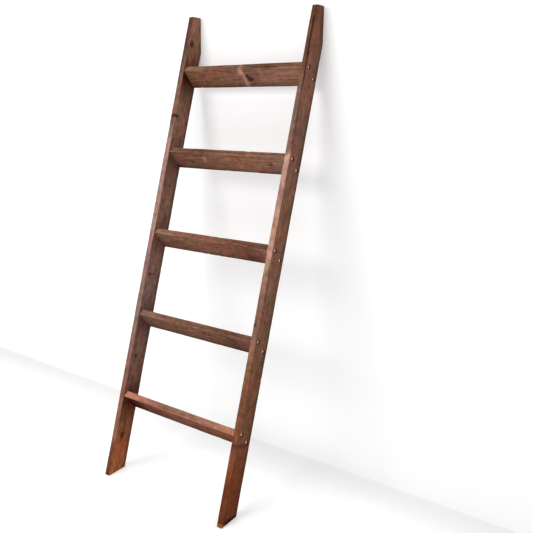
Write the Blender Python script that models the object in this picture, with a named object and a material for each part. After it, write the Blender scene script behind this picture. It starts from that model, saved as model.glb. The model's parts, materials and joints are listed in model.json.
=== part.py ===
"""A leaning blanket ladder: two flat rails, five tilted rungs and the wood screws that hold them.

The ladder stands in its leaning pose. +X runs along the rungs, +Y points to the wall it leans on, +Z is up.
The origin is under the middle of the ladder, on the floor. On a rail, "along" is the distance up its front
edge from the foot, and "back" is the distance from that edge towards the wall.
"""

import math

import bmesh
import bpy
from mathutils import Matrix, Vector

# Driving dimensions, in metres.
OVERALL_WIDTH = 0.457
OVERALL_HEIGHT = 1.375
LEAN = math.radians(17.0)
FOOT_TO_WALL = 0.456

RAIL_THICKNESS = 0.018
RAIL_DEPTH = 0.064

RUNG_WIDTH = 0.066
RUNG_THICKNESS = 0.0195
RUNG_TILT = math.radians(34.0)
RUNG_SETBACK = 0.0015

EASED_EDGE = 0.0015
CLEARANCE = 0.0003

# Each rung: its name, how far along the rail its front arris is, and where its two screws enter,
# as (distance from the front arris across the wide face, depth behind that face).
RUNGS = (
    ("bottom", 0.250, (0.0090, 0.0130), (0.0495, 0.0100)),
    ("lower", 0.507, (0.0080, 0.0105), (0.0500, 0.0075)),
    ("middle", 0.762, (0.0100, 0.0085), (0.0505, 0.0080)),
    ("upper", 1.016, (0.0110, 0.0095), (0.0510, 0.0070)),
    ("top", 1.270, (0.0100, 0.0080), (0.0495, 0.0080)),
)

# A countersunk wood screw, sunk at the bottom of a round counterbore.
COUNTERBORE_RADIUS = 0.0060
COUNTERBORE_DEPTH = 0.0030
HEAD_RADIUS = 0.0040
HEAD_RIM = 0.0004
HEAD_CONE = 0.0020
SHANK_RADIUS = 0.00205
SCREW_LENGTH = 0.045
POINT_LENGTH = 0.009
POINT_RADIUS = 0.0004
SCREW_SIDES = 12
HOLE_SIDES = 14

STAINED_RAIL = (0.105, 0.046, 0.030, 1.0)
STAINED_RUNG = (0.120, 0.052, 0.034, 1.0)
ZINC_YELLOW = (0.62, 0.47, 0.30, 1.0)


def clear_scene():
    for item in list(bpy.data.objects):
        bpy.data.objects.remove(item, do_unlink=True)


def make_material(name, colour, roughness, metallic=0.0):
    material = bpy.data.materials.new(name)
    material.use_nodes = True
    shader = material.node_tree.nodes["Principled BSDF"]
    shader.inputs["Base Color"].default_value = colour
    shader.inputs["Roughness"].default_value = roughness
    shader.inputs["Metallic"].default_value = metallic
    material.diffuse_color = colour
    return material


def on_rail(back, along):
    """The (y, z) of a point given in the rail's own directions."""
    y = back * math.cos(LEAN) + along * math.sin(LEAN) - FOOT_TO_WALL / 2
    z = along * math.cos(LEAN) - back * math.sin(LEAN)
    return y, z


def on_rung(along, across, deep):
    """The (y, z) of a point on a rung's section: across its wide face and deep behind that face."""
    back = RUNG_SETBACK + across * math.cos(RUNG_TILT) + deep * math.sin(RUNG_TILT)
    up = -across * math.sin(RUNG_TILT) + deep * math.cos(RUNG_TILT)
    return on_rail(back, along + up)


def add_object(name, mesh, material=None):
    item = bpy.data.objects.new(name, mesh)
    bpy.context.scene.collection.objects.link(item)
    if material and not mesh.materials:
        mesh.materials.append(material)
    return item


def extrude_outline(name, outline, x_from, x_to, ease_ends):
    """A board: an outline in the YZ plane, extruded along X, with its edges eased."""
    shape = bmesh.new()
    corners = [shape.verts.new((x_from, y, z)) for y, z in outline]
    face = shape.faces.new(corners)
    grown = bmesh.ops.extrude_face_region(shape, geom=[face])
    moved = [v for v in grown["geom"] if isinstance(v, bmesh.types.BMVert)]
    bmesh.ops.translate(shape, verts=moved, vec=(x_to - x_from, 0, 0))
    bmesh.ops.recalc_face_normals(shape, faces=shape.faces)

    def is_eased(edge):
        runs_along_x = abs(edge.verts[0].co.x - edge.verts[1].co.x) > EASED_EDGE
        sharp = edge.calc_face_angle() > math.radians(30)
        return sharp and (ease_ends or runs_along_x)

    eased = [edge for edge in shape.edges if is_eased(edge)]
    bmesh.ops.bevel(shape, geom=eased, offset=EASED_EDGE, segments=2, profile=0.5, affect="EDGES")
    mesh = bpy.data.meshes.new(name)
    shape.to_mesh(mesh)
    shape.free()
    return mesh


def turn_profile(name, stations, sides):
    """A closed turned piece about the X axis, from (distance along X, radius) stations."""
    shape = bmesh.new()
    rings = []
    for x, radius in stations:
        turns = [2 * math.pi * step / sides for step in range(sides)]
        rings.append([shape.verts.new((x, radius * math.cos(a), radius * math.sin(a))) for a in turns])
    for ring, following in zip(rings, rings[1:]):
        for step in range(sides):
            beside = (step + 1) % sides
            shape.faces.new((ring[step], ring[beside], following[beside], following[step]))
    shape.faces.new(rings[0])
    shape.faces.new(rings[-1])
    bmesh.ops.recalc_face_normals(shape, faces=shape.faces)
    mesh = bpy.data.meshes.new(name)
    shape.to_mesh(mesh)
    shape.free()
    return mesh


def inward(side):
    """The turn that points local +X from a rail's outer face (side -1 left, 1 right) into the ladder."""
    return Matrix.Rotation(math.pi if side > 0 else 0.0, 4, "Z")


def screw_places(side, rung):
    """The outer-face point of each of a rung's two screws on one rail."""
    _, along, *entries = rung
    for across, deep in entries:
        y, z = on_rung(along, across, deep)
        yield Vector((side * OVERALL_WIDTH / 2, y, z))


def cut_holes(board, places, hole_mesh):
    """Cuts the same turned hole into a board at each place."""
    cutter_shape = bmesh.new()
    for side, place in places:
        start = len(cutter_shape.verts)
        cutter_shape.from_mesh(hole_mesh)
        cutter_shape.verts.ensure_lookup_table()
        added = cutter_shape.verts[start:]
        bmesh.ops.transform(cutter_shape, matrix=Matrix.Translation(place) @ inward(side), verts=added)
    cutter_mesh = bpy.data.meshes.new(board.name + "_holes")
    cutter_shape.to_mesh(cutter_mesh)
    cutter_shape.free()
    cutter = add_object(board.name + "_holes", cutter_mesh)
    cutter.hide_render = True
    cutter.display_type = "WIRE"
    cut = board.modifiers.new("screw_holes", "BOOLEAN")
    cut.operation = "DIFFERENCE"
    cut.solver = "EXACT"
    cut.object = cutter


def rail_outline():
    """Front edge, level top, a plumb cut that sits flat on the wall, back edge, level foot."""
    wall_y = FOOT_TO_WALL / 2
    foot_front = on_rail(0.0, 0.0)
    top_front = on_rail(0.0, OVERALL_HEIGHT / math.cos(LEAN))
    top_back = (wall_y, OVERALL_HEIGHT)
    plumb_cut_foot = (wall_y, (FOOT_TO_WALL * math.cos(LEAN) - RAIL_DEPTH) / math.sin(LEAN))
    foot_back = on_rail(RAIL_DEPTH, RAIL_DEPTH * math.tan(LEAN))
    return [foot_front, top_front, top_back, plumb_cut_foot, foot_back]


def rung_outline(along):
    """The rung's rectangular section: front arris, lower back arris, and the two behind them."""
    corners = ((0, 0), (RUNG_WIDTH, 0), (RUNG_WIDTH, RUNG_THICKNESS), (0, RUNG_THICKNESS))
    return [on_rung(along, across, deep) for across, deep in corners]


def make_rail(name, side, hole_mesh, material):
    outer = side * OVERALL_WIDTH / 2
    inner = outer - side * RAIL_THICKNESS
    mesh = extrude_outline(name, rail_outline(), min(outer, inner), max(outer, inner), ease_ends=True)
    rail = add_object(name, mesh, material)
    places = [(side, place) for rung in RUNGS for place in screw_places(side, rung)]
    cut_holes(rail, places, hole_mesh)


def make_rung(rung, pilot_mesh, material):
    name, along = "rung_" + rung[0], rung[1]
    reach = OVERALL_WIDTH / 2 - RAIL_THICKNESS - CLEARANCE
    mesh = extrude_outline(name, rung_outline(along), -reach, reach, ease_ends=False)
    board = add_object(name, mesh, material)
    places = [(side, place) for side in (-1, 1) for place in screw_places(side, rung)]
    cut_holes(board, places, pilot_mesh)


def rail_hole_mesh():
    """Counterbore, countersink and clearance hole in one turned cutter, measured from the outer face."""
    overrun = 0.002
    floor = COUNTERBORE_DEPTH
    rim = HEAD_RADIUS + CLEARANCE
    bore = SHANK_RADIUS + CLEARANCE
    cone_start = floor + HEAD_RIM + CLEARANCE / 2
    stations = (
        (-overrun, COUNTERBORE_RADIUS),
        (floor, COUNTERBORE_RADIUS),
        (floor, rim),
        (cone_start, rim),
        (cone_start + HEAD_CONE, bore),
        (RAIL_THICKNESS + overrun, bore),
    )
    return turn_profile("rail_hole", stations, HOLE_SIDES)


def pilot_hole_mesh():
    """The blind hole in a rung's end, measured from the rail's outer face."""
    overrun = 0.002
    bore = SHANK_RADIUS + CLEARANCE
    bottom = COUNTERBORE_DEPTH + SCREW_LENGTH + CLEARANCE
    stations = ((RAIL_THICKNESS - overrun, bore), (bottom, bore))
    return turn_profile("pilot_hole", stations, HOLE_SIDES)


def screw_mesh():
    """A flat-headed wood screw whose head's top is at x = 0 and whose point is at x = SCREW_LENGTH."""
    stations = (
        (0.0, HEAD_RADIUS),
        (HEAD_RIM, HEAD_RADIUS),
        (HEAD_RIM + HEAD_CONE, SHANK_RADIUS),
        (SCREW_LENGTH - POINT_LENGTH, SHANK_RADIUS),
        (SCREW_LENGTH, POINT_RADIUS),
    )
    mesh = turn_profile("wood_screw", stations, SCREW_SIDES)
    mesh.shade_smooth()
    mesh.set_sharp_from_angle(angle=math.radians(35))
    return mesh


def make_screws(material):
    """Four screws to a rung: two through each rail, named by rail, rung and place."""
    mesh = screw_mesh()
    for side, side_name in ((-1, "left"), (1, "right")):
        for rung in RUNGS:
            for place, place_name in zip(screw_places(side, rung), ("front", "back")):
                screw = add_object(f"screw_{side_name}_{rung[0]}_{place_name}", mesh, material)
                screw.rotation_euler = inward(side).to_euler()
                screw.location = place - Vector((side * COUNTERBORE_DEPTH, 0, 0))


def main():
    clear_scene()
    rail_wood = make_material("stained_rail", STAINED_RAIL, 0.55)
    rung_wood = make_material("stained_rung", STAINED_RUNG, 0.55)
    yellow_zinc = make_material("yellow_zinc", ZINC_YELLOW, 0.35, metallic=1.0)
    hole_mesh = rail_hole_mesh()
    make_rail("rail_left", -1, hole_mesh, rail_wood)
    make_rail("rail_right", 1, hole_mesh, rail_wood)
    pilot_mesh = pilot_hole_mesh()
    for rung in RUNGS:
        make_rung(rung, pilot_mesh, rung_wood)
    make_screws(yellow_zinc)


main()
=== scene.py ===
# %% [markdown]
# # A leaning blanket ladder
#
# The real thing is seven planed softwood boards under a brown walnut stain, held by twenty zinc-plated
# screws: two rails, cut level at the floor and plumb at the wall, and five rungs that tilt forward so
# that a quilt lies flat over them. It could be drawn as seven plain boxes, but what makes it look real
# is in the edges, the screw holes and the grain, so each board is made the way a workshop makes it:
# sawn to its outline, eased, worn, bored, and then stained with a finish that knows about growth rings.

# %% Open the ladder's frame
import json
import math
import random

import bmesh
import bpy
from mathutils import Matrix, Vector, noise


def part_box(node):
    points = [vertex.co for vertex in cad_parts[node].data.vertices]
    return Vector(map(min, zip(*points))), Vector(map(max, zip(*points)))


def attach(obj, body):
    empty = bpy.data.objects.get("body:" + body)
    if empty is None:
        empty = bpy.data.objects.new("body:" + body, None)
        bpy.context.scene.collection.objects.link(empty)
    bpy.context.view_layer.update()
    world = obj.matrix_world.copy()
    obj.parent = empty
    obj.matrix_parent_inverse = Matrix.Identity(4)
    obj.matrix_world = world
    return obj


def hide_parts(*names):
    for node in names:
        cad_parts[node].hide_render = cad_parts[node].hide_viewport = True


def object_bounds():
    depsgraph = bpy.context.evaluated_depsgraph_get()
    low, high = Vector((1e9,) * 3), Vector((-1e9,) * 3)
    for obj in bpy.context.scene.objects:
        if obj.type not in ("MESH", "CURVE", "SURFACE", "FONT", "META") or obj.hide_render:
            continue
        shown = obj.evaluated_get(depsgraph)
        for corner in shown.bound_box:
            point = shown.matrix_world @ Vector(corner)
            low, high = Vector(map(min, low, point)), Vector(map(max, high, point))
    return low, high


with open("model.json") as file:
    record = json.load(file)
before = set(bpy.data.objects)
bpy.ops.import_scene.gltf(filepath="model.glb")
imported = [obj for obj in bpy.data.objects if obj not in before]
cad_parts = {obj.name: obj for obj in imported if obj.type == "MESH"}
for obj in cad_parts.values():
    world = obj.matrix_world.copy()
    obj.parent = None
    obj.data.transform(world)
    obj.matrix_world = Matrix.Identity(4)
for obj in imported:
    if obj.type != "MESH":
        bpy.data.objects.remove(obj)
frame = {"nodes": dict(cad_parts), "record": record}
cad_box = [list(corner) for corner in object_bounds()]
print("box of the frame:", [[round(v, 4) for v in corner] for corner in cad_box])

# %% [markdown]
# ## Finding the boards
#
# Every size comes from the frame, so that nothing has to be fitted by eye. The line through the middles
# of the lowest and the highest rung runs up the ladder, whatever its lean is. The record's drape mounts
# give the way that the rungs face. Each board then gets axes of its own: x out of a wide face, y across
# it, z along the grain. One wood finish can then serve them all, because it only has to know z.

# %% Directions of the ladder
RUNGS = ("bottom", "lower", "middle", "upper", "top")
SIDES = {"left": -1, "right": 1}


def middle(node):
    low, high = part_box(node)
    return (low + high) / 2


def reach(node, direction):
    """The lowest and the highest point of a node of the frame, measured along a direction."""
    spots = [vertex.co.dot(direction) for vertex in frame["nodes"][node].data.vertices]
    return min(spots), max(spots)


mounts = {mount["name"]: mount for mount in frame["record"]["mounts"]}
SIDEWAYS = Vector((1, 0, 0))
ALONG = (middle("rung_top") - middle("rung_bottom")).normalized()
BACK = ALONG.cross(SIDEWAYS)
ACROSS = -Vector(mounts["drape_top"]["axis"]).normalized()
FACE = ACROSS.cross(SIDEWAYS)
print("the ladder leans", round(math.degrees(math.atan2(ALONG.y, ALONG.z)), 2), "degrees")

# %% Sizes of the boards
RAIL_THICKNESS = reach("rail_left", SIDEWAYS)[1] - reach("rail_left", SIDEWAYS)[0]
RAIL_DEPTH = reach("rail_left", BACK)[1] - reach("rail_left", BACK)[0]
RUNG_THICKNESS = reach("rung_top", FACE)[1] - reach("rung_top", FACE)[0]
RUNG_WIDTH = reach("rung_top", ACROSS)[1] - reach("rung_top", ACROSS)[0]
RUNG_LENGTH = reach("rung_top", SIDEWAYS)[1] - reach("rung_top", SIDEWAYS)[0]
print("rails", round(RAIL_THICKNESS, 4), "x", round(RAIL_DEPTH, 4))
print("rungs", round(RUNG_THICKNESS, 4), "x", round(RUNG_WIDTH, 4), "x", round(RUNG_LENGTH, 4))

# %% Where each board lies


def seat(origin, x_way, y_way, z_way):
    """The matrix that puts a board's own axes into the ladder."""
    place = Matrix((x_way, y_way, z_way)).transposed().to_4x4()
    place.translation = origin
    return place


def rail_seat(side):
    """At the front of the foot, half way through the board's thickness."""
    rail = "rail_" + side
    front = BACK * reach(rail, BACK)[0]
    on_floor = front - ALONG * (front.z / ALONG.z)
    return seat(on_floor + SIDEWAYS * middle(rail).x, SIDEWAYS, BACK, ALONG)


def rung_seat(rung):
    """At the top arris of the left end, half way through the board's thickness."""
    node = "rung_" + rung
    depth = FACE * sum(reach(node, FACE)) / 2
    corner = depth + ACROSS * reach(node, ACROSS)[0] + SIDEWAYS * reach(node, SIDEWAYS)[0]
    return seat(corner, FACE, ACROSS, SIDEWAYS)


SEATS = {"rail_" + side: rail_seat(side) for side in SIDES}
SEATS.update({"rung_" + rung: rung_seat(rung) for rung in RUNGS})
print("seats found for", ", ".join(SEATS))

# %% [markdown]
# ## Sawing a board
#
# A rail's side view has five corners: a level foot, a level top, and a plumb cut where it rests on the
# wall. A rung's is a rectangle. Either is one outline, extruded through the board's thickness. The cuts
# are worked out by meeting lines instead of being typed in, so they stay flat on the floor and wall.

# %% Outlines, as (across, along) in a board's own axes


def rail_outline(side):
    rail = "rail_" + side
    to_board = SEATS[rail].inverted()
    low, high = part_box(rail)
    origin = SEATS[rail].translation
    top_back = to_board @ Vector((origin.x, high.y, high.z))
    foot_back = -RAIL_DEPTH * BACK.z / ALONG.z
    plumb_cut_foot = (high.y - origin.y - RAIL_DEPTH * BACK.y) / ALONG.y
    return [
        (0.0, 0.0),
        (0.0, (high.z - low.z) / ALONG.z),
        (top_back.y, top_back.z),
        (RAIL_DEPTH, plumb_cut_foot),
        (RAIL_DEPTH, foot_back),
    ]


RUNG_OUTLINE = [(0.0, 0.0), (0.0, RUNG_LENGTH), (RUNG_WIDTH, RUNG_LENGTH), (RUNG_WIDTH, 0.0)]
print("rail outline:", [(round(y, 4), round(z, 4)) for y, z in rail_outline("left")])

# %% Turn shapes into meshes, and meshes into objects


def as_mesh(shape, name):
    mesh = bpy.data.meshes.new(name)
    shape.to_mesh(mesh)
    shape.free()
    return mesh


def put(name, data):
    """A new object in the scene."""
    item = bpy.data.objects.new(name, data)
    bpy.context.scene.collection.objects.link(item)
    return item


print("shapes can be turned into objects now")

# %% Extrude an outline and ease its edges
ARRIS_EASE = 0.0015
EASE_STEPS = 3
SHARP = math.radians(12)


def saw(outline, thickness, ease_ends):
    """A board with its edges rounded by sandpaper; a rung's ends stay square to butt on the rails."""
    shape = bmesh.new()
    face = shape.faces.new([shape.verts.new((-thickness / 2, y, z)) for y, z in outline])
    grown = bmesh.ops.extrude_face_region(shape, geom=[face])
    far_side = [part for part in grown["geom"] if isinstance(part, bmesh.types.BMVert)]
    bmesh.ops.translate(shape, verts=far_side, vec=(thickness, 0, 0))
    bmesh.ops.recalc_face_normals(shape, faces=shape.faces)

    def is_end(edge):
        run = edge.verts[0].co - edge.verts[1].co
        return abs(run.z) < 0.5 * run.length

    sharp = [edge for edge in shape.edges if edge.calc_face_angle() > SHARP]
    eased = sharp if ease_ends else [edge for edge in sharp if not is_end(edge)]
    bmesh.ops.bevel(
        shape, geom=eased, offset=ARRIS_EASE, segments=EASE_STEPS, profile=0.5, affect="EDGES"
    )
    return shape


print("boards are sawn with arrises eased by", ARRIS_EASE * 1000, "mm")

# %% [markdown]
# ## Wear
#
# A planed board isn't a perfect prism. The planer leaves long shallow waves, and hands and floors round
# the arrises unevenly and put small dents in them. Sculpting would do it once, for one board. Slicing
# each board into short lengths and moving the points with noise does it for all seven, the same each
# run. Every move goes inward, so that a board never grows past its own frame.

# %% Slice a board, so that there are points to move
SLICE = 0.005
ACROSS_SLICE = 0.014
EDGE_MARGIN = 0.0045


def steps(start, end, size):
    """Evenly spaced places between two ends, about a size apart."""
    count = max(2, round((end - start) / size))
    return [start + (end - start) * step / count for step in range(1, count)]


def slice_board(shape, thickness, width, length):
    """Cuts across the grain every few millimetres, and along it beside arrises and down the faces."""
    between = steps(EDGE_MARGIN, width - EDGE_MARGIN, ACROSS_SLICE)
    across = [EDGE_MARGIN, *between, width - EDGE_MARGIN]
    through = (-thickness / 2 + EDGE_MARGIN, thickness / 2 - EDGE_MARGIN)
    ways = (("x", through), ("y", across), ("z", steps(0, length, SLICE)))
    for way, places in ways:
        normal = Vector([float(name == way) for name in "xyz"])
        for place in places:
            parts = shape.verts[:] + shape.edges[:] + shape.faces[:]
            bmesh.ops.bisect_plane(
                shape, geom=parts, dist=1e-6, plane_co=normal * place, plane_no=normal
            )


print("a slice every", SLICE * 1000, "mm along the grain")

# %% Move the points
WAVE_DEPTH = 0.00025
WEAR_DEPTH = 0.0006
WEAR_REACH = 0.0035
KNOCKS = 7
KNOCK_DEPTH = 0.0009


def weather(shape, thickness, width, length, luck):
    """Planer waves on the faces, worn arrises, and a few knocks on the arrises."""
    shift = Vector((luck.uniform(0, 50), luck.uniform(0, 50), luck.uniform(0, 50)))
    corners = [(sx * thickness / 2, y) for sx in (-1, 1) for y in (0, width)]
    knocks = []
    for _ in range(KNOCKS):
        x, y = luck.choice(corners)
        knocks.append((Vector((x, y, luck.uniform(0.02, length - 0.02))), luck.uniform(0.003, 0.006)))
    for vertex in shape.verts:
        spot = vertex.co.copy()
        inward = Vector((-math.copysign(1, spot.x), math.copysign(1, width / 2 - spot.y), 0))
        wave = Vector((noise.noise(spot * 9 + shift), noise.noise(spot * 7 - shift), 0))
        beside_x = max(0.0, 1 - (thickness / 2 - abs(spot.x)) / WEAR_REACH)
        beside_y = max(0.0, 1 - (width / 2 - abs(spot.y - width / 2)) / WEAR_REACH)
        worn = max(0.0, 0.25 + noise.noise(Vector((inward.x, inward.y, spot.z * 14)) + shift))
        depth = Vector((WAVE_DEPTH * (1 + wave.x) / 2, WAVE_DEPTH * (1 + wave.y) / 2, 0))
        move = Vector((inward.x * depth.x, inward.y * depth.y, 0))
        move += inward * (WEAR_DEPTH * worn * beside_x * beside_y)
        for place, size in knocks:
            near = max(0.0, 1 - (spot - place).length / size)
            move += inward * (KNOCK_DEPTH * near * near * (3 - 2 * near))
        vertex.co = spot + move


print("each board gets", KNOCKS, "knocks and waves up to", WAVE_DEPTH * 1000, "mm deep")

# %% [markdown]
# ## Boring for the screws
#
# Each screw is driven through a rail into a rung's end, and its head is sunk three millimetres below
# the rail's face at the bottom of a counterbore. A dark ring painted on the face would do from afar,
# but a real hole gives the deep shadow and the half-hidden head, so each hole is turned as a solid and
# cut away with a Boolean. Its walls get a finish of their own, as dark as stained end grain and in
# places near black, painted shade that deepens the hole's shadow. The lip is a little wider, where the
# drill has torn the fibres.

# %% Turned solids about the x axis


def skin(shape, rings):
    """Joins rings of points with faces and closes both ends."""
    for ring, following in zip(rings, rings[1:]):
        for step in range(len(ring)):
            beside = (step + 1) % len(ring)
            shape.faces.new((ring[step], ring[beside], following[beside], following[step]))
    shape.faces.new(rings[0])
    shape.faces.new(rings[-1])
    bmesh.ops.recalc_face_normals(shape, faces=shape.faces)


def turned(name, stations, sides):
    """A closed solid from (distance along x, radius) stations."""
    shape = bmesh.new()
    rings = []
    for x, radius in stations:
        turns = [2 * math.pi * step / sides for step in range(sides)]
        rings.append([shape.verts.new((x, radius * math.cos(a), radius * math.sin(a))) for a in turns])
    skin(shape, rings)
    return as_mesh(shape, name)


print("solids can be turned now")

# %% The screw's sizes, and the hole that it needs
HEAD_RADIUS = 0.0040
HEAD_RIM = 0.0004
HEAD_CONE = 0.0020
SHANK_RADIUS = 0.00205
SCREW_LENGTH = reach("screw_left_top_front", SIDEWAYS)[1] - reach("screw_left_top_front", SIDEWAYS)[0]
HEAD_DEPTH = reach("screw_left_top_front", SIDEWAYS)[0] - reach("rail_left", SIDEWAYS)[0]
COUNTERBORE = 0.0060
TORN_LIP = 0.0005
PLAY = 0.0003
OVERRUN = 0.002
HOLE_SIDES = 32

bore = SHANK_RADIUS + PLAY
rail_bore = turned(
    "rail_bore",
    (
        (-OVERRUN, COUNTERBORE + 2 * TORN_LIP),
        (TORN_LIP, COUNTERBORE),
        (HEAD_DEPTH, COUNTERBORE),
        (HEAD_DEPTH, HEAD_RADIUS + PLAY),
        (HEAD_DEPTH + HEAD_RIM, HEAD_RADIUS + PLAY),
        (HEAD_DEPTH + HEAD_RIM + HEAD_CONE, bore),
        (RAIL_THICKNESS + OVERRUN, bore),
    ),
    HOLE_SIDES,
)
rung_bore = turned(
    "rung_bore",
    ((RAIL_THICKNESS - OVERRUN, bore), (HEAD_DEPTH + SCREW_LENGTH + PLAY, bore)),
    HOLE_SIDES,
)
print("screws are", round(SCREW_LENGTH, 4), "long, sunk", round(HEAD_DEPTH, 4))

# %% Where the screws enter


def screw_seat(side, rung, place):
    """On the rail's outer face, with x pointing into the ladder."""
    centre = middle(f"screw_{side}_{rung}_{place}")
    centre.x = middle("rail_" + side).x + SIDES[side] * RAIL_THICKNESS / 2
    turn = Matrix.Rotation(math.pi if side == "right" else 0.0, 4, "Z")
    return Matrix.Translation(centre) @ turn


SCREW_SEATS = {
    (side, rung, place): screw_seat(side, rung, place)
    for side in SIDES
    for rung in RUNGS
    for place in ("front", "back")
}
print(len(SCREW_SEATS), "screws")

# %% Cut one solid out of another


def settle(piece):
    """Turns what a piece's modifiers show into its own mesh."""
    graph = bpy.context.evaluated_depsgraph_get()
    made = bpy.data.meshes.new_from_object(piece.evaluated_get(graph))
    piece.modifiers.clear()
    piece.data = made
    made.name = piece.name


def cut_away(piece, cutter):
    """Cuts the cutter's shape out of the piece, and then throws the cutter away."""
    cut = piece.modifiers.new("cut", "BOOLEAN")
    cut.operation = "DIFFERENCE"
    cut.solver = "EXACT"
    cut.object = cutter
    bpy.context.view_layer.update()
    settle(piece)
    bpy.data.objects.remove(cutter)


print("holes can be cut now")

# %% Bore a board and lay it in the ladder
STAINED, BORED = 0, 1


def bore_holes(board, cutter, seats, to_board):
    """Cuts the same turned hole at every seat, in the board's own axes."""
    shape = bmesh.new()
    for place in seats:
        start = len(shape.verts)
        shape.from_mesh(cutter)
        shape.verts.ensure_lookup_table()
        bmesh.ops.transform(shape, matrix=to_board @ place, verts=shape.verts[start:])
    for face in shape.faces:
        face.material_index = BORED
    mesh = as_mesh(shape, board.name + "_drill")
    for _ in (STAINED, BORED):
        mesh.materials.append(None)
    cut_away(board, put(board.name + "_drill", mesh))


def lay_in_place(board, place):
    """Notes each point's place on the board for the finish, then moves the mesh into the ladder."""
    spots = board.data.attributes.new("board_place", "FLOAT_VECTOR", "POINT")
    for vertex, spot in zip(board.data.vertices, spots.data):
        spot.vector = vertex.co
    board.data.transform(place)


print("every board has stained faces and bored faces")

# %% Make one board from start to finish


def make_board(name, node, outline, thickness, width, ease_ends, seed, cutter, seats):
    luck = random.Random(seed)
    length = max(z for _, z in outline)
    shape = saw(outline, thickness, ease_ends)
    slice_board(shape, thickness, width, length)
    weather(shape, thickness, width, length, luck)
    board = put(name, as_mesh(shape, name))
    for _ in (STAINED, BORED):
        board.data.materials.append(None)
    bore_holes(board, cutter, seats, SEATS[node].inverted())
    lay_in_place(board, SEATS[node])
    board.data.shade_smooth()
    board.data.set_sharp_from_angle(angle=math.radians(40))
    even = board.modifiers.new("flat_faces", "WEIGHTED_NORMAL")
    even.keep_sharp = True
    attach(board, "root")
    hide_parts(node)
    print(name, "has", len(board.data.polygons), "faces")
    return board


# %% Make the seven boards
boards = {}
for number, side in enumerate(SIDES):
    seats = [place for key, place in SCREW_SEATS.items() if key[0] == side]
    boards["rail_" + side] = make_board(
        f"stained_rail_{side}", "rail_" + side, rail_outline(side), RAIL_THICKNESS, RAIL_DEPTH,
        True, 11 + number, rail_bore, seats,
    )
for number, rung in enumerate(RUNGS):
    seats = [place for key, place in SCREW_SEATS.items() if key[1] == rung]
    boards["rung_" + rung] = make_board(
        f"stained_rung_{rung}", "rung_" + rung, RUNG_OUTLINE, RUNG_THICKNESS, RUNG_WIDTH,
        False, 21 + number, rung_bore, seats,
    )

# %% [markdown]
# ## The screws
#
# A zinc-plated wood screw: a slightly domed head with a cross recess, a cone that seats in the
# countersink, and a coarse thread that runs to a point. A thread could be a curve swept round the
# shank. Here the whole screw is one turned surface whose radius also depends on the angle, which winds
# the thread into the same closed mesh as the head. The recess is a tapered cross, cut out afterwards.

# %% Thread and head in one surface
THREAD_PITCH = 0.0018
CORE_RADIUS = 0.0014
THREAD_LENGTH = 0.030
POINT_LENGTH = 0.007
POINT_RADIUS = 0.0003
HEAD_DOME = 0.0008
SMOOTH_SHANK = SHANK_RADIUS * 0.8
SCREW_SIDES = 24


def screw_radius(x, turn):
    """The radius at a distance x down from the head's rim, at a turn from 0 to 1. The dome has x < 0."""
    if x < 0:
        return HEAD_RADIUS * math.sqrt(1 - (x / HEAD_DOME) ** 2 * 0.99)
    if x <= HEAD_RIM:
        return HEAD_RADIUS
    if x < HEAD_RIM + HEAD_CONE:
        return HEAD_RADIUS + (SMOOTH_SHANK - HEAD_RADIUS) * (x - HEAD_RIM) / HEAD_CONE
    to_point = SCREW_LENGTH - x
    taper = min(1.0, to_point / POINT_LENGTH)
    if to_point > THREAD_LENGTH:
        return SMOOTH_SHANK
    core = POINT_RADIUS + (CORE_RADIUS - POINT_RADIUS) * taper
    ridge = abs((x / THREAD_PITCH + turn) % 1.0 - 0.5) * 2
    return core + (SHANK_RADIUS - CORE_RADIUS) * max(0.0, 1 - 2.4 * ridge) * taper ** 0.5


print("the smooth part of the shank is", round(2000 * SMOOTH_SHANK, 2), "mm thick")

# %% Wind it


def make_screw_shape():
    """Rings of points down the screw, six to each turn of the thread."""
    shape = bmesh.new()
    start = HEAD_RIM + HEAD_CONE
    threaded = steps(start, SCREW_LENGTH, THREAD_PITCH / 6)
    dome = [-HEAD_DOME * part for part in (1.0, 0.97, 0.88, 0.7, 0.4)]
    stations = [*dome, 0.0, HEAD_RIM, start, *threaded, SCREW_LENGTH]
    rings = []
    for x in stations:
        ring = []
        for step in range(SCREW_SIDES):
            turn = step / SCREW_SIDES
            radius = screw_radius(x, turn)
            angle = 2 * math.pi * turn
            ring.append(shape.verts.new((x, radius * math.cos(angle), radius * math.sin(angle))))
        rings.append(ring)
    skin(shape, rings)
    return shape


print("the thread climbs", THREAD_PITCH * 1000, "mm a turn")

# %% The cross recess
RECESS_ARM = 0.0021
RECESS_WIDTH = 0.00042
RECESS_DEPTH = 0.0016


def recess_cutter():
    """A cross, wide at the head's face and narrow at its bottom."""
    shape = bmesh.new()
    a, w = RECESS_ARM, RECESS_WIDTH
    quarter = [(a, -w), (a, w), (w, w)]
    outline = []
    for step in range(4):
        turn = Matrix.Rotation(math.pi / 2 * step, 2)
        outline += [turn @ Vector(corner) for corner in quarter]
    levels = ((-HEAD_DOME * 1.2, 1.1), (RECESS_DEPTH, 0.45))
    rings = [[shape.verts.new((x, *(p * size))) for p in outline] for x, size in levels]
    skin(shape, rings)
    return as_mesh(shape, "cross_recess")


def finished_screw():
    """One screw's mesh, recess cut, shared by all twenty."""
    screw = put("wood_screw", as_mesh(make_screw_shape(), "wood_screw"))
    cut_away(screw, put("driver", recess_cutter()))
    mesh = screw.data
    bpy.data.objects.remove(screw)
    mesh.shade_smooth()
    mesh.set_sharp_from_angle(angle=math.radians(35))
    return mesh


screw_mesh = finished_screw()
print("a screw has", len(screw_mesh.polygons), "faces")

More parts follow.
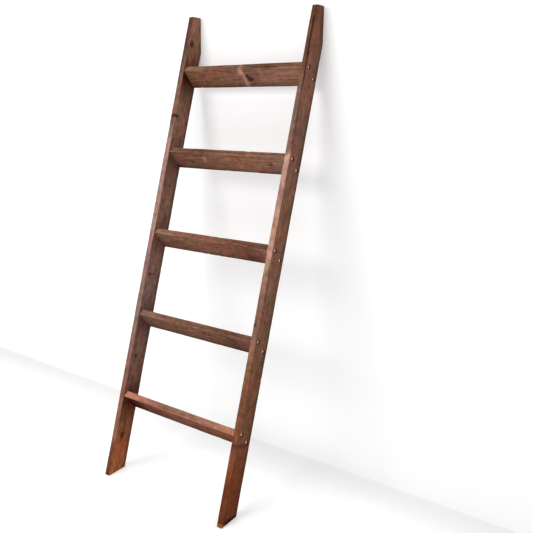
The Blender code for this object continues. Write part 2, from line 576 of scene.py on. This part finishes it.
# %% Drive the screws home
luck = random.Random(5)
for (side, rung, place), spot in SCREW_SEATS.items():
    node = f"screw_{side}_{rung}_{place}"
    screw = put(f"zinc_{node}", screw_mesh)
    sunk = Matrix.Translation(Vector((HEAD_DEPTH, 0, 0)))
    spin = Matrix.Rotation(luck.uniform(0, math.tau), 4, "X")
    screw.matrix_world = spot @ sunk @ spin
    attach(screw, "root")
    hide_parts(node)

# %% [markdown]
# ## Writing finishes as sums
#
# A finish is a tree of nodes, and a tree is easier to read as arithmetic. `Wire` wraps one socket, so
# that `1 - mask` or `a * b + c` adds its Math nodes. Colours go through Mix and Vector Math nodes,
# because Math nodes work on single numbers. Every other node comes from the one method `node`.

# %% The wire


class Wire:
    """The end of a wire in a finish: arithmetic on it adds Math nodes."""

    def __init__(self, tree, socket=None):
        self.tree = tree
        self.socket = socket

    def node(self, kind, settings=None, sockets=None, output=0):
        """Adds a node: its settings first, then its sockets' values or wires. Returns one output."""
        made = self.tree.nodes.new("ShaderNode" + kind)
        for name, value in (settings or {}).items():
            if name == "stops":
                set_stops(made.color_ramp, value)
            else:
                setattr(made, name, value)
        for name, value in (sockets or {}).items():
            if isinstance(value, Wire):
                self.tree.links.new(value.socket, made.inputs[name])
            else:
                made.inputs[name].default_value = value
        return Wire(self.tree, made.outputs[output])

    def other(self, output):
        """Another output of the same node."""
        return Wire(self.tree, self.socket.node.outputs[output])

    def math(self, operation, *values):
        return self.node("Math", {"operation": operation}, dict(enumerate(values)))

    def __add__(self, value):
        return self.math("ADD", self, value)

    def __sub__(self, value):
        return self.math("SUBTRACT", self, value)

    def __rsub__(self, value):
        return self.math("SUBTRACT", value, self)

    def __mul__(self, value):
        return self.math("MULTIPLY", self, value)

    def __truediv__(self, value):
        return self.math("DIVIDE", self, value)

    def __pow__(self, value):
        return self.math("POWER", self, value)

    __radd__ = __add__
    __rmul__ = __mul__


print("wires can be added, subtracted, multiplied, divided and raised to a power")

# %% Small shader tools


def set_stops(ramp, stops):
    """Fills a colour ramp from (place from 0 to 1, colour) stops."""
    ramp.interpolation = "LINEAR"
    while len(ramp.elements) < len(stops):
        ramp.elements.new(1.0)
    for element, (place, colour) in zip(ramp.elements, stops):
        element.position = place
        element.color = colour


def vector_sum(wire, operation, first, second, output=0):
    """Vector arithmetic; SCALE takes a number, and LENGTH and DOT_PRODUCT put out a Value."""
    sockets = {0: first}
    sockets["Scale" if operation == "SCALE" else 1] = second
    return wire.node("VectorMath", {"operation": operation}, sockets, output)


def stretch(place, across, along):
    """The same place counted in features this wide across the grain and this long along it."""
    return vector_sum(place, "MULTIPLY", place, (1 / across, 1 / across, 1 / along))


def cloudy(place, detail=2.0, roughness=0.5):
    """Noise from 0 to 1, mostly near a half."""
    sockets = {"Vector": place, "Scale": 1.0, "Detail": detail, "Roughness": roughness}
    return place.node("TexNoise", {"noise_dimensions": "3D"}, sockets)


def ease(wire, low, high):
    """0 below low, 1 above high, and a smooth step between; low may be the larger."""
    sockets = {"Value": wire, "From Min": low, "From Max": high}
    return wire.node("MapRange", {"interpolation_type": "SMOOTHSTEP", "clamp": True}, sockets)


def blend(first, second, amount):
    """A colour that turns from the first into the second as the amount goes from 0 to 1."""
    wire = amount if isinstance(amount, Wire) else first
    sockets = {0: amount, 6: first, 7: second}
    return wire.node("Mix", {"data_type": "RGBA"}, sockets, 2)


print("noise, easing and blending are ready")

# %% Paint and new finishes


def paint(red, green, blue):
    """A colour as it looks on a screen, 0 to 255, in the linear light that Blender reckons with."""

    def linear(value):
        part = value / 255
        return part / 12.92 if part <= 0.04045 else ((part + 0.055) / 1.055) ** 2.4

    return (linear(red), linear(green), linear(blue), 1.0)


def new_finish(name):
    """A material, the start of its wires, and its Principled shader."""
    finish = bpy.data.materials.new(name)
    finish.use_nodes = True
    tree = finish.node_tree
    return finish, Wire(tree), tree.nodes["Principled BSDF"]


def plug(wire, shader, socket):
    wire.tree.links.new(wire.socket, shader.inputs[socket])


print("finishes can be written as sums now")

# %% [markdown]
# ## Walnut stain on softwood
#
# Blender's Wave texture gives bands at once, but they run through every board alike. Real grain is what
# is left when a saw cuts a trunk: rings about a centre line, the pith, which lies off to one side of
# the board and never quite parallel to it. So each board here is a slice of its own imagined trunk. The
# distance from the pith, bent by a little noise, counts the rings. Straight lines on the edges, flames
# on the wide faces and arcs on the ends then all agree, since they are one pattern in three dimensions.

# %% Growth rings
RING = 0.0034


def rings_about(place, x, y, z, pith, drift, bend):
    """The number of rings between the pith and a point. The pith is a line that drifts along z."""
    wander = (cloudy(stretch(place, 0.09, 0.35)) - 0.5) * 0.016
    shiver = (cloudy(stretch(place, 0.012, 0.10)) - 0.5) * 0.0022
    to_x = x - (z * drift[0] + pith[0])
    to_y = y - (z * drift[1] + pith[1])
    away = (to_x * to_x + to_y * to_y) ** 0.5
    return (away + wander + shiver + bend) / RING


def late_wood(rings):
    """0 in the soft spring wood, rising to 1 in the thin dark line that closes each year."""
    year = rings.math("FRACT", rings)
    return ease(year, 0.35, 0.92) * ease(year, 1.0, 0.93)


print("a new ring every", RING * 1000, "mm")

# %% Knots and marks


def knot_distance(place, centre, sizes):
    """How far a point is from a knot's heart, counted in knot sizes, with a ragged outline."""
    offset = vector_sum(place, "SUBTRACT", place, centre)
    scaled = vector_sum(place, "DIVIDE", offset, sizes)
    length = vector_sum(place, "LENGTH", scaled, (0, 0, 0), "Value")
    return length + (cloudy(stretch(place, 0.004, 0.006)) - 0.5) * 0.7


def grow_knots(place, knots):
    """How far the knots push the rings aside, how much of each point is heart, and a halo round it."""
    bend, hearts, halo = 0.0, None, None
    for centre, sizes in knots:
        away = knot_distance(place, centre, sizes)
        push = (away * away * -0.30).math("EXPONENT", away * away * -0.30)
        bend = push * (min(sizes) * 1.6) + bend
        heart = ease(away, 1.40, 0.50)
        hearts = heart if hearts is None else hearts.math("MAXIMUM", hearts, heart)
        halo = push if halo is None else halo.math("MAXIMUM", halo, push)
    return bend, hearts, halo


def lay_marks(colour, place, marks):
    """Marks are (centre, sizes, tone, strength): soft patches of another tone, a few of them painted
    highlight.
    """
    for centre, sizes, tone, strength in marks:
        near = ease(knot_distance(place, centre, sizes), 1.35, 0.45)
        colour = blend(colour, tone, near * strength)
    return colour


print("knots bend the grain round them, marks only tint it")

# %% The stain's own tone


def own_tone(y, z, length, streak, look):
    """The tone along the wide faces, and another along the narrow face at the board's front."""
    along = z / length
    tones = {}
    for part in ("faces", "edges"):
        stops = [(spot / length, tone) for spot, tone in look[part]]
        tones[part] = along.node("ValToRGB", {"stops": stops}, {"Fac": along})
    front = ease(y + (streak - 0.5) * 0.0030, 0.0024, 0.0004)
    return blend(tones["faces"], tones["edges"], front)


def drift_in_tone(colour, drawn):
    """The stain drifts between red, olive and purple, over inches and over fractions of one."""
    for across_grain, along_grain, depth in ((0.020, 0.060, 0.60), (0.0055, 0.012, 0.30)):
        tint = drawn.node(
            "TexNoise", {"noise_dimensions": "3D"},
            {"Vector": stretch(drawn, across_grain, along_grain), "Scale": 1.0, "Detail": 2.0}, "Color",
        )
        tint = vector_sum(tint, "MULTIPLY", tint, (depth, depth, depth))
        tint = vector_sum(tint, "ADD", tint, (1 - depth / 2, 1 - depth / 2, 1 - depth / 2))
        colour = vector_sum(colour, "MULTIPLY", colour, tint)
    return colour


print("every board's tone changes along it")

# %% Arrises, painted shade and ends
END_GRAIN = paint(48, 27, 18)
PALE_ARRIS_AND_HIGHLIGHT = paint(176, 128, 100)


def rub_glint_and_shade(colour, x, y, thickness, width, streak, drawn):
    """Arrises paler, part wear and part painted highlight; painted shade towards the back arris."""
    by_x = ease(x.math("ABSOLUTE", x), thickness / 2 - 0.0022, thickness / 2 - 0.0004)
    by_y = ease((y - width / 2).math("ABSOLUTE", y - width / 2), width / 2 - 0.0022, width / 2 - 0.0004)
    # Arrises paler: partly wear, partly painted highlight.
    worn_and_glinting = by_x * by_y * ease(cloudy(stretch(drawn, 0.01, 0.03)), 0.42, 0.62)
    run = y + (streak - 0.5) * 0.008
    # Painted shade: each face darkens towards its back arris, and that arris is darker still.
    painted_shade = ease(run, width * 0.68, width * 0.94) * 0.34 + ease(run, width * 0.15, width * 0.75) * 0.12
    back_arris_shade = ease(run, width - 0.0050, width - 0.0005)
    colour = blend(colour, PALE_ARRIS_AND_HIGHLIGHT, worn_and_glinting * (1 - back_arris_shade) * 0.35)
    return vector_sum(colour, "SCALE", colour, 1.08 - painted_shade - back_arris_shade * 0.30)


def darken_ends(colour, start, grain):
    """End grain drinks more stain, so faces that look along the grain are darker."""
    facing = start.node("NewGeometry", output="Normal")
    end = vector_sum(facing, "DOT_PRODUCT", facing, grain, "Value")
    return blend(colour, END_GRAIN, ease(end.math("ABSOLUTE", end), 0.45, 0.75) * 0.80)


print("arrises are rubbed and pooled, ends are darker")

# %% The whole stain
KNOT_HEART = paint(50, 26, 15)


def walnut_stain(name, seed, size, grain, pith, drift, shine, look):
    """size is the board's (thickness, width, length); look holds its tones, knots and marks."""
    thickness, width, length = size
    finish, start, shader = new_finish(name)
    place = start.node("Attribute", {"attribute_name": "board_place"}, output="Vector")
    x = place.node("SeparateXYZ", {}, {"Vector": place})
    y, z = x.other("Y"), x.other("Z")
    drawn = vector_sum(place, "ADD", place, (seed * 0.37, seed * 0.61, seed * 1.3))

    bend, hearts, halo = grow_knots(place, look["knots"])
    late = late_wood(rings_about(drawn, x, y, z, pith, drift, bend))
    fibre = cloudy(stretch(drawn, 0.0014, 0.024), 4.0, 0.65)
    streak = cloudy(stretch(drawn, 0.0050, 0.07), 4.0, 0.65)
    patch = cloudy(stretch(drawn, 0.014, 0.018), 3.0, 0.65)

    colour = lay_marks(own_tone(y, z, length, streak, look), place, look["marks"])
    strength = 1.06 + (streak - 0.5) * 1.50 + (patch - 0.5) * 1.40 + (fibre - 0.5) * 0.90 - late * 0.25
    colour = vector_sum(colour, "SCALE", colour, strength.math("MAXIMUM", strength, 0.35))
    colour = drift_in_tone(colour, drawn)
    colour = rub_glint_and_shade(colour, x, y, thickness, width, streak, drawn)
    colour = darken_ends(colour, start, grain)
    if hearts is not None:
        colour = vector_sum(colour, "SCALE", colour, 1 - halo * 0.25)
        colour = blend(colour, KNOT_HEART, hearts * 0.85)
    plug(colour, shader, "Base Color")

    plug(0.50 + (fibre - 0.5) * 0.30 - late * 0.06, shader, "Roughness")
    height = late * 0.5 + fibre * 0.55 + streak * 0.5
    bump = height.node("Bump", {}, {"Strength": 0.45, "Distance": 0.0005, "Height": height})
    plug(bump, shader, "Normal")
    shader.inputs["Specular IOR Level"].default_value = shine
    return finish


print("the stain is mixed")

# %% [markdown]
# ## A tone for every board
#
# No two boards of one ladder take stain alike. The middles of the rails' front edges are paler, partly
# paler wood and partly painted highlight, and the lower rungs' narrow tops are paler partly by painted
# highlight too. The feet are redder, where the stain went on thick. The left rail's tones hold painted
# shade where the rungs meet it, and so does the bottom rung's left end. The table gives each board its
# tones at places along its length, in metres: `faces` for its wide faces and `edges` for the narrow face
# at its front. Then come its knots and the few marks that set it apart from its neighbours, placed by
# the board's own axes.

# %% The insides of the screw holes, near black partly as painted shade
finish, start, shader = new_finish("bored_wood")
place = start.node("TexCoord", output="Object")
torn = cloudy(stretch(place, 0.0010, 0.0010), 3.0)
# From stained end grain to near black: the near black is painted shade deepening the hole.
plug(blend(paint(50, 27, 17), paint(18, 9, 6), ease(torn, 0.35, 0.65)), shader, "Base Color")
plug(torn * 0.2 + 0.65, shader, "Roughness")
shader.inputs["Specular IOR Level"].default_value = 0.1
bored_wood = finish
print("made", bored_wood.name)

# %% Tones, as they look on a screen
DARK = paint(40, 20, 14)
PURPLE = paint(66, 36, 34)
GOLDEN = paint(172, 98, 48)
PALE = paint(196, 146, 122)


def tones(*stops):
    """Stops of (place in metres, red, green, blue) as (place, colour)."""
    return [(place, paint(*colour)) for place, *colour in stops]


print("four tones for marks")

# %% The rails' looks
looks = {
    "rail_left": {
        # Darker at 0.23, 0.485, 0.75, 1.00 and 1.25 m, where the rungs meet: painted shade of the
        # joints; at 1.25 m a dark streak too.
        "faces": tones(
            (0.00, 148, 87, 53), (0.09, 142, 83, 51), (0.15, 128, 77, 52), (0.23, 86, 42, 31),
            (0.31, 117, 83, 67), (0.40, 120, 87, 73), (0.485, 106, 74, 64), (0.58, 126, 94, 84),
            (0.66, 129, 96, 83), (0.75, 110, 78, 64), (0.84, 126, 93, 79), (0.91, 124, 93, 79),
            (1.00, 108, 73, 59), (1.10, 140, 101, 82), (1.19, 120, 87, 71), (1.25, 66, 24, 9),
            (1.34, 134, 94, 75),
        ),
        # Paler in the middle, from 0.58 to 1.05 m: partly paler wood, partly painted highlight.
        "edges": tones(
            (0.00, 102, 58, 37), (0.08, 104, 62, 41), (0.12, 136, 93, 73), (0.21, 136, 88, 68),
            (0.33, 130, 94, 79), (0.58, 138, 107, 98), (0.66, 134, 102, 92), (0.76, 150, 121, 111),
            (1.05, 148, 120, 108), (1.12, 120, 88, 76), (1.25, 120, 92, 80), (1.31, 102, 76, 65),
            (1.42, 88, 56, 42),
        ),
        "knots": [
            ((0.009, 0.015, 1.358), (0.03, 0.009, 0.010)),
            ((0.009, 0.021, 0.375), (0.03, 0.005, 0.006)),
            ((0.009, 0.024, 0.126), (0.03, 0.008, 0.010)),
        ],
        "marks": [
            ((0.009, 0.003, 1.129), (0.03, 0.016, 0.0050), DARK, 0.75),
            ((0.009, 0.033, 0.915), (0.03, 0.008, 0.0045), DARK, 0.45),
            ((0.009, 0.021, 0.634), (0.03, 0.018, 0.0045), DARK, 0.60),
            ((-0.006, 0.0, 1.330), (0.006, 0.004, 0.090), DARK, 0.40),
            # A pale line on the inner front arris: partly paler wood, partly painted highlight.
            ((0.0085, 0.0, 0.870), (0.0035, 0.0045, 0.170), PALE, 0.40),
        ],
    },
    "rail_right": {
        "faces": tones(
            (0.00, 98, 46, 22), (0.10, 105, 52, 27), (0.20, 112, 62, 38), (0.25, 112, 72, 52),
            (0.50, 116, 78, 59), (0.68, 124, 85, 68), (0.95, 129, 87, 68), (1.08, 116, 80, 67),
            (1.17, 130, 89, 71), (1.36, 121, 80, 61), (1.43, 110, 70, 52),
        ),
        # Paler from 0.69 to 1.02 m: partly paler wood, partly painted highlight.
        "edges": tones(
            (0.00, 100, 55, 29), (0.11, 107, 56, 32), (0.16, 123, 70, 43), (0.28, 121, 77, 55),
            (0.44, 128, 85, 64), (0.49, 148, 103, 83), (0.55, 124, 91, 80), (0.62, 134, 96, 82),
            (0.69, 155, 115, 101), (0.74, 179, 135, 118), (0.93, 165, 127, 110), (1.02, 192, 147, 129),
            (1.035, 124, 91, 80), (1.22, 123, 91, 77), (1.30, 104, 66, 55), (1.42, 98, 60, 42),
        ),
        "knots": [((-0.009, 0.0, 0.556), (0.008, 0.004, 0.006))],
        "marks": [
            ((0.0045, 0.0, 1.35), (0.0032, 0.0040, 0.100), DARK, 0.80),
            ((0.0068, 0.0, 1.25), (0.0028, 0.0040, 0.090), DARK, 0.75),
            ((0.0085, 0.0, 1.13), (0.0030, 0.0040, 0.080), DARK, 0.55),
            ((0.009, 0.020, 0.224), (0.05, 0.05, 0.0075), PURPLE, 0.60),
            ((0.009, 0.045, 0.013), (0.05, 0.040, 0.013), paint(16, 8, 6), 0.95),
            ((0.0, 0.004, 0.004), (0.03, 0.012, 0.008), GOLDEN, 0.60),
        ],
    },
}
print("looks for", ", ".join(looks))

# %% The rungs' looks
# The narrow tops' tones (`edges`) are paler the lower the rung, the bottom rung's most: partly painted
# highlight.
looks |= {
    "rung_bottom": {
        # Near black at the left end, where the rung meets the left rail: painted shade of the joint.
        "faces": tones(
            (0.02, 60, 24, 18), (0.09, 102, 62, 50), (0.22, 115, 75, 61), (0.40, 118, 75, 56),
        ),
        # Its pale narrow top is partly painted highlight.
        "edges": tones(
            (0.03, 186, 126, 102), (0.15, 142, 96, 78), (0.28, 152, 109, 89), (0.39, 173, 120, 96),
        ),
        "knots": [],
        "marks": [],
    },
    "rung_lower": {
        "faces": tones(
            (0.03, 114, 81, 67), (0.22, 114, 80, 66), (0.30, 109, 75, 62), (0.36, 93, 63, 51),
            (0.41, 126, 87, 71),
        ),
        "edges": tones(
            (0.03, 134, 99, 89), (0.13, 120, 87, 71), (0.22, 128, 90, 75), (0.29, 112, 77, 60),
            (0.40, 115, 85, 71),
        ),
        "knots": [],
        "marks": [((0.0, 0.0, 0.21), (0.003, 0.004, 0.40), DARK, 0.22)],
    },
    "rung_middle": {
        "faces": tones(
            (0.03, 114, 79, 65), (0.14, 121, 85, 67), (0.26, 124, 83, 69), (0.35, 104, 66, 50),
            (0.41, 131, 93, 78),
        ),
        "edges": tones(
            (0.03, 144, 108, 90), (0.13, 129, 86, 70), (0.22, 135, 93, 71), (0.30, 114, 80, 67),
            (0.40, 105, 74, 61),
        ),
        "knots": [],
        "marks": [((0.0, 0.0, 0.21), (0.003, 0.004, 0.40), DARK, 0.16)],
    },
    "rung_upper": {
        "faces": tones(
            (0.03, 111, 75, 61), (0.13, 114, 79, 63), (0.27, 136, 94, 73), (0.36, 134, 94, 77),
            (0.41, 145, 104, 88),
        ),
        "edges": tones(
            (0.03, 127, 92, 77), (0.13, 98, 68, 54), (0.21, 134, 97, 80), (0.40, 132, 96, 79),
        ),
        "knots": [],
        "marks": [
            ((0.0, 0.0, 0.21), (0.003, 0.005, 0.40), DARK, 0.40),
            ((0.0, 0.030, 0.365), (0.05, 0.007, 0.008), DARK, 0.55),
            ((0.0, 0.022, 0.129), (0.05, 0.014, 0.0085), PALE, 0.25),
        ],
    },
    "rung_top": {
        "faces": tones(
            (0.03, 118, 82, 62), (0.12, 122, 82, 65), (0.21, 123, 88, 75), (0.40, 146, 105, 85),
        ),
        "edges": tones(
            (0.03, 120, 88, 70), (0.12, 103, 69, 59), (0.21, 97, 75, 61), (0.29, 74, 43, 27),
            (0.40, 106, 78, 65),
        ),
        "knots": [
            ((0.0, 0.028, 0.228), (0.05, 0.007, 0.006)),
            ((0.0, 0.038, 0.236), (0.05, 0.007, 0.011)),
        ],
        "marks": [
            # A pale line along the upper arris: painted highlight.
            ((0.0, 0.004, 0.21), (0.005, 0.008, 0.40), PALE, 0.12),
            ((0.0, 0.012, 0.2095), (0.05, 0.018, 0.0080), PALE, 0.50),
            ((0.0, 0.032, 0.2150), (0.05, 0.020, 0.0065), PALE, 0.42),
            ((0.0, 0.052, 0.2185), (0.05, 0.020, 0.0070), PALE, 0.55),
        ],
    },
}
print("looks for", len(looks), "boards")

# %% Stain the rails
RAIL_SIZE = (RAIL_THICKNESS, RAIL_DEPTH, max(z for _, z in rail_outline("left")))
for seed, side in enumerate(SIDES, start=3):
    rail = "rail_" + side
    finish = walnut_stain(
        "walnut_stain_" + rail, seed, RAIL_SIZE, ALONG, (SIDES[side] * -0.030, 0.020),
        (SIDES[side] * 0.006, 0.012), 0.02, looks[rail],
    )
    boards[rail].data.materials[STAINED] = finish
    boards[rail].data.materials[BORED] = bored_wood
    print("stained", rail)

# %% Stain the rungs
RUNG_SIZE = (RUNG_THICKNESS, RUNG_WIDTH, RUNG_LENGTH)
for seed, rung in enumerate(RUNGS, start=7):
    node = "rung_" + rung
    finish = walnut_stain(
        "walnut_stain_" + node, seed, RUNG_SIZE, SIDEWAYS,
        (0.028 + 0.004 * seed, 0.012 * (seed % 3)), (0.015, -0.02), 0.0, looks[node],
    )
    boards[node].data.materials[STAINED] = finish
    boards[node].data.materials[BORED] = bored_wood
    print("stained", node)

# %% [markdown]
# ## Yellow zinc, painted pale
#
# The screws are steel with a thin zinc coat, passivated yellow: pale brass with a pink tinge, chalky
# and a little uneven. A full metal would only mirror the dark walls of its hole, so the finish is a
# quarter metal. Its colours are paler than the plating, near white, as painted highlight that makes the
# heads show bright in their holes. One Principled shader does it, with noise in its colour and
# roughness.

# %% Plate the screws
finish, start, shader = new_finish("yellow_zinc")
place = start.node("TexCoord", output="Object")
stain = cloudy(stretch(place, 0.0012, 0.0012), 3.0)
# Both colours are paler than yellow zinc: painted highlight, so that the heads show bright in their
# holes.
plug(blend(paint(255, 230, 208), paint(255, 208, 180), ease(stain, 0.35, 0.65)), shader, "Base Color")
plug(stain * 0.25 + 0.28, shader, "Roughness")
shader.inputs["Metallic"].default_value = 0.25
screw_mesh.materials.append(finish)

# %% [markdown]
# ## The studio
#
# A pale floor and a white wall, touching the plumb cuts of the rails. Both glow faintly, so that only
# the ladder's shadow shows on them. The floor turns a little greyer just before the wall, painted shade
# of the corner, or the line between them would be lost. From behind, the wall would hide the ladder, so
# its back is see-through: a Mix Shader swaps to a Transparent shader on back faces. One broad light
# stands in front at the left. A long narrow one hangs overhead and runs from front to back, like the
# rails, which keeps their shadows thin.

# %% Floor and wall


def sheet(name, corners):
    mesh = bpy.data.meshes.new(name)
    mesh.from_pydata(corners, [], [range(len(corners))])
    item = put(name, mesh)
    return item


def pale_finish(name, brightness, glow, one_sided):
    finish, start, shader = new_finish(name)
    shader.inputs["Base Color"].default_value = (brightness, brightness, brightness, 1.0)
    shader.inputs["Roughness"].default_value = 0.9
    shader.inputs["Specular IOR Level"].default_value = 0.0
    shader.inputs["Emission Color"].default_value = (1.0, 1.0, 1.0, 1.0)
    shader.inputs["Emission Strength"].default_value = glow
    if one_sided:
        clear = start.node("BsdfTransparent", {}, {})
        behind = start.node("NewGeometry", output="Backfacing")
        front = Wire(start.tree, shader.outputs[0])
        seen = start.node("MixShader", {}, {0: behind, 1: front, 2: clear})
        start.tree.links.new(seen.socket, start.tree.nodes["Material Output"].inputs["Surface"])
    return finish


ROOM = 5.0
BRIGHTNESS = 0.80
wall_y = cad_box[1][1] + 0.0005
floor = sheet("floor", [(-ROOM, -ROOM, 0), (ROOM, -ROOM, 0), (ROOM, ROOM, 0), (-ROOM, ROOM, 0)])
wall_foot = [(-ROOM, wall_y, 0), (ROOM, wall_y, 0)]
wall = sheet("wall", [*wall_foot, (ROOM, wall_y, ROOM), (-ROOM, wall_y, ROOM)])
pale_floor = pale_finish("pale_floor", BRIGHTNESS, 0.345, False)
floor.data.materials.append(pale_floor)
wall.data.materials.append(pale_finish("white_wall", BRIGHTNESS, 0.28, True))
print("floor and wall meet at y =", round(wall_y, 4))

# %% Painted shade: the floor turns a little greyer just before the wall
GREY_BAND = 0.25
GREY = 0.55
start = Wire(pale_floor.node_tree)
spot = start.node("TexCoord", output="Object")
depth = spot.node("SeparateXYZ", {}, {"Vector": spot}).other("Y")
near_wall = ease(depth, wall_y - GREY_BAND, wall_y)
grey = blend((BRIGHTNESS, BRIGHTNESS, BRIGHTNESS, 1.0), (GREY, GREY, GREY, 1.0), near_wall)
plug(grey, pale_floor.node_tree.nodes["Principled BSDF"], "Base Color")
print("the floor is greyer within", GREY_BAND, "m of the wall")

# %% Lights


def soft_box(name, place, target, size, power):
    light = bpy.data.lights.new(name, "AREA")
    light.shape = "RECTANGLE"
    light.size, light.size_y = size
    light.energy = power
    item = put(name, light)
    item.location = place
    item.rotation_euler = (Vector(target) - Vector(place)).to_track_quat("-Z", "Y").to_euler()
    print("a light of", power, "watts:", name)


soft_box("key", (-1.05, -2.35, 1.95), (0, 0, 0.75), (1.4, 1.2), 33)
soft_box("top", (0.0, -0.3, 3.0), (0.0, -0.299, 0.0), (0.3, 2.4), 25)

# %% Light from all round, and plain colours
world = bpy.data.worlds.new("studio")
world.use_nodes = True
background = world.node_tree.nodes["Background"]
background.inputs["Color"].default_value = (1.0, 1.0, 1.0, 1.0)
background.inputs["Strength"].default_value = 0.40
bpy.context.scene.world = world
bpy.context.scene.view_settings.view_transform = "Standard"
print("soft light of strength", round(background.inputs["Strength"].default_value, 2), "all round")

# %% Camera
camera = put("camera", bpy.data.cameras.new("camera"))
camera.location = (1.1374, -1.3861, 1.0719)
camera.rotation_euler = [math.radians(turn) for turn in (75.992, -0.832, 34.795)]
camera.data.lens = 42.31
camera.data.shift_x = 0.0140
camera.data.shift_y = 0.0166
bpy.context.scene.camera = camera
print("the camera looks from", [round(part, 2) for part in camera.location])
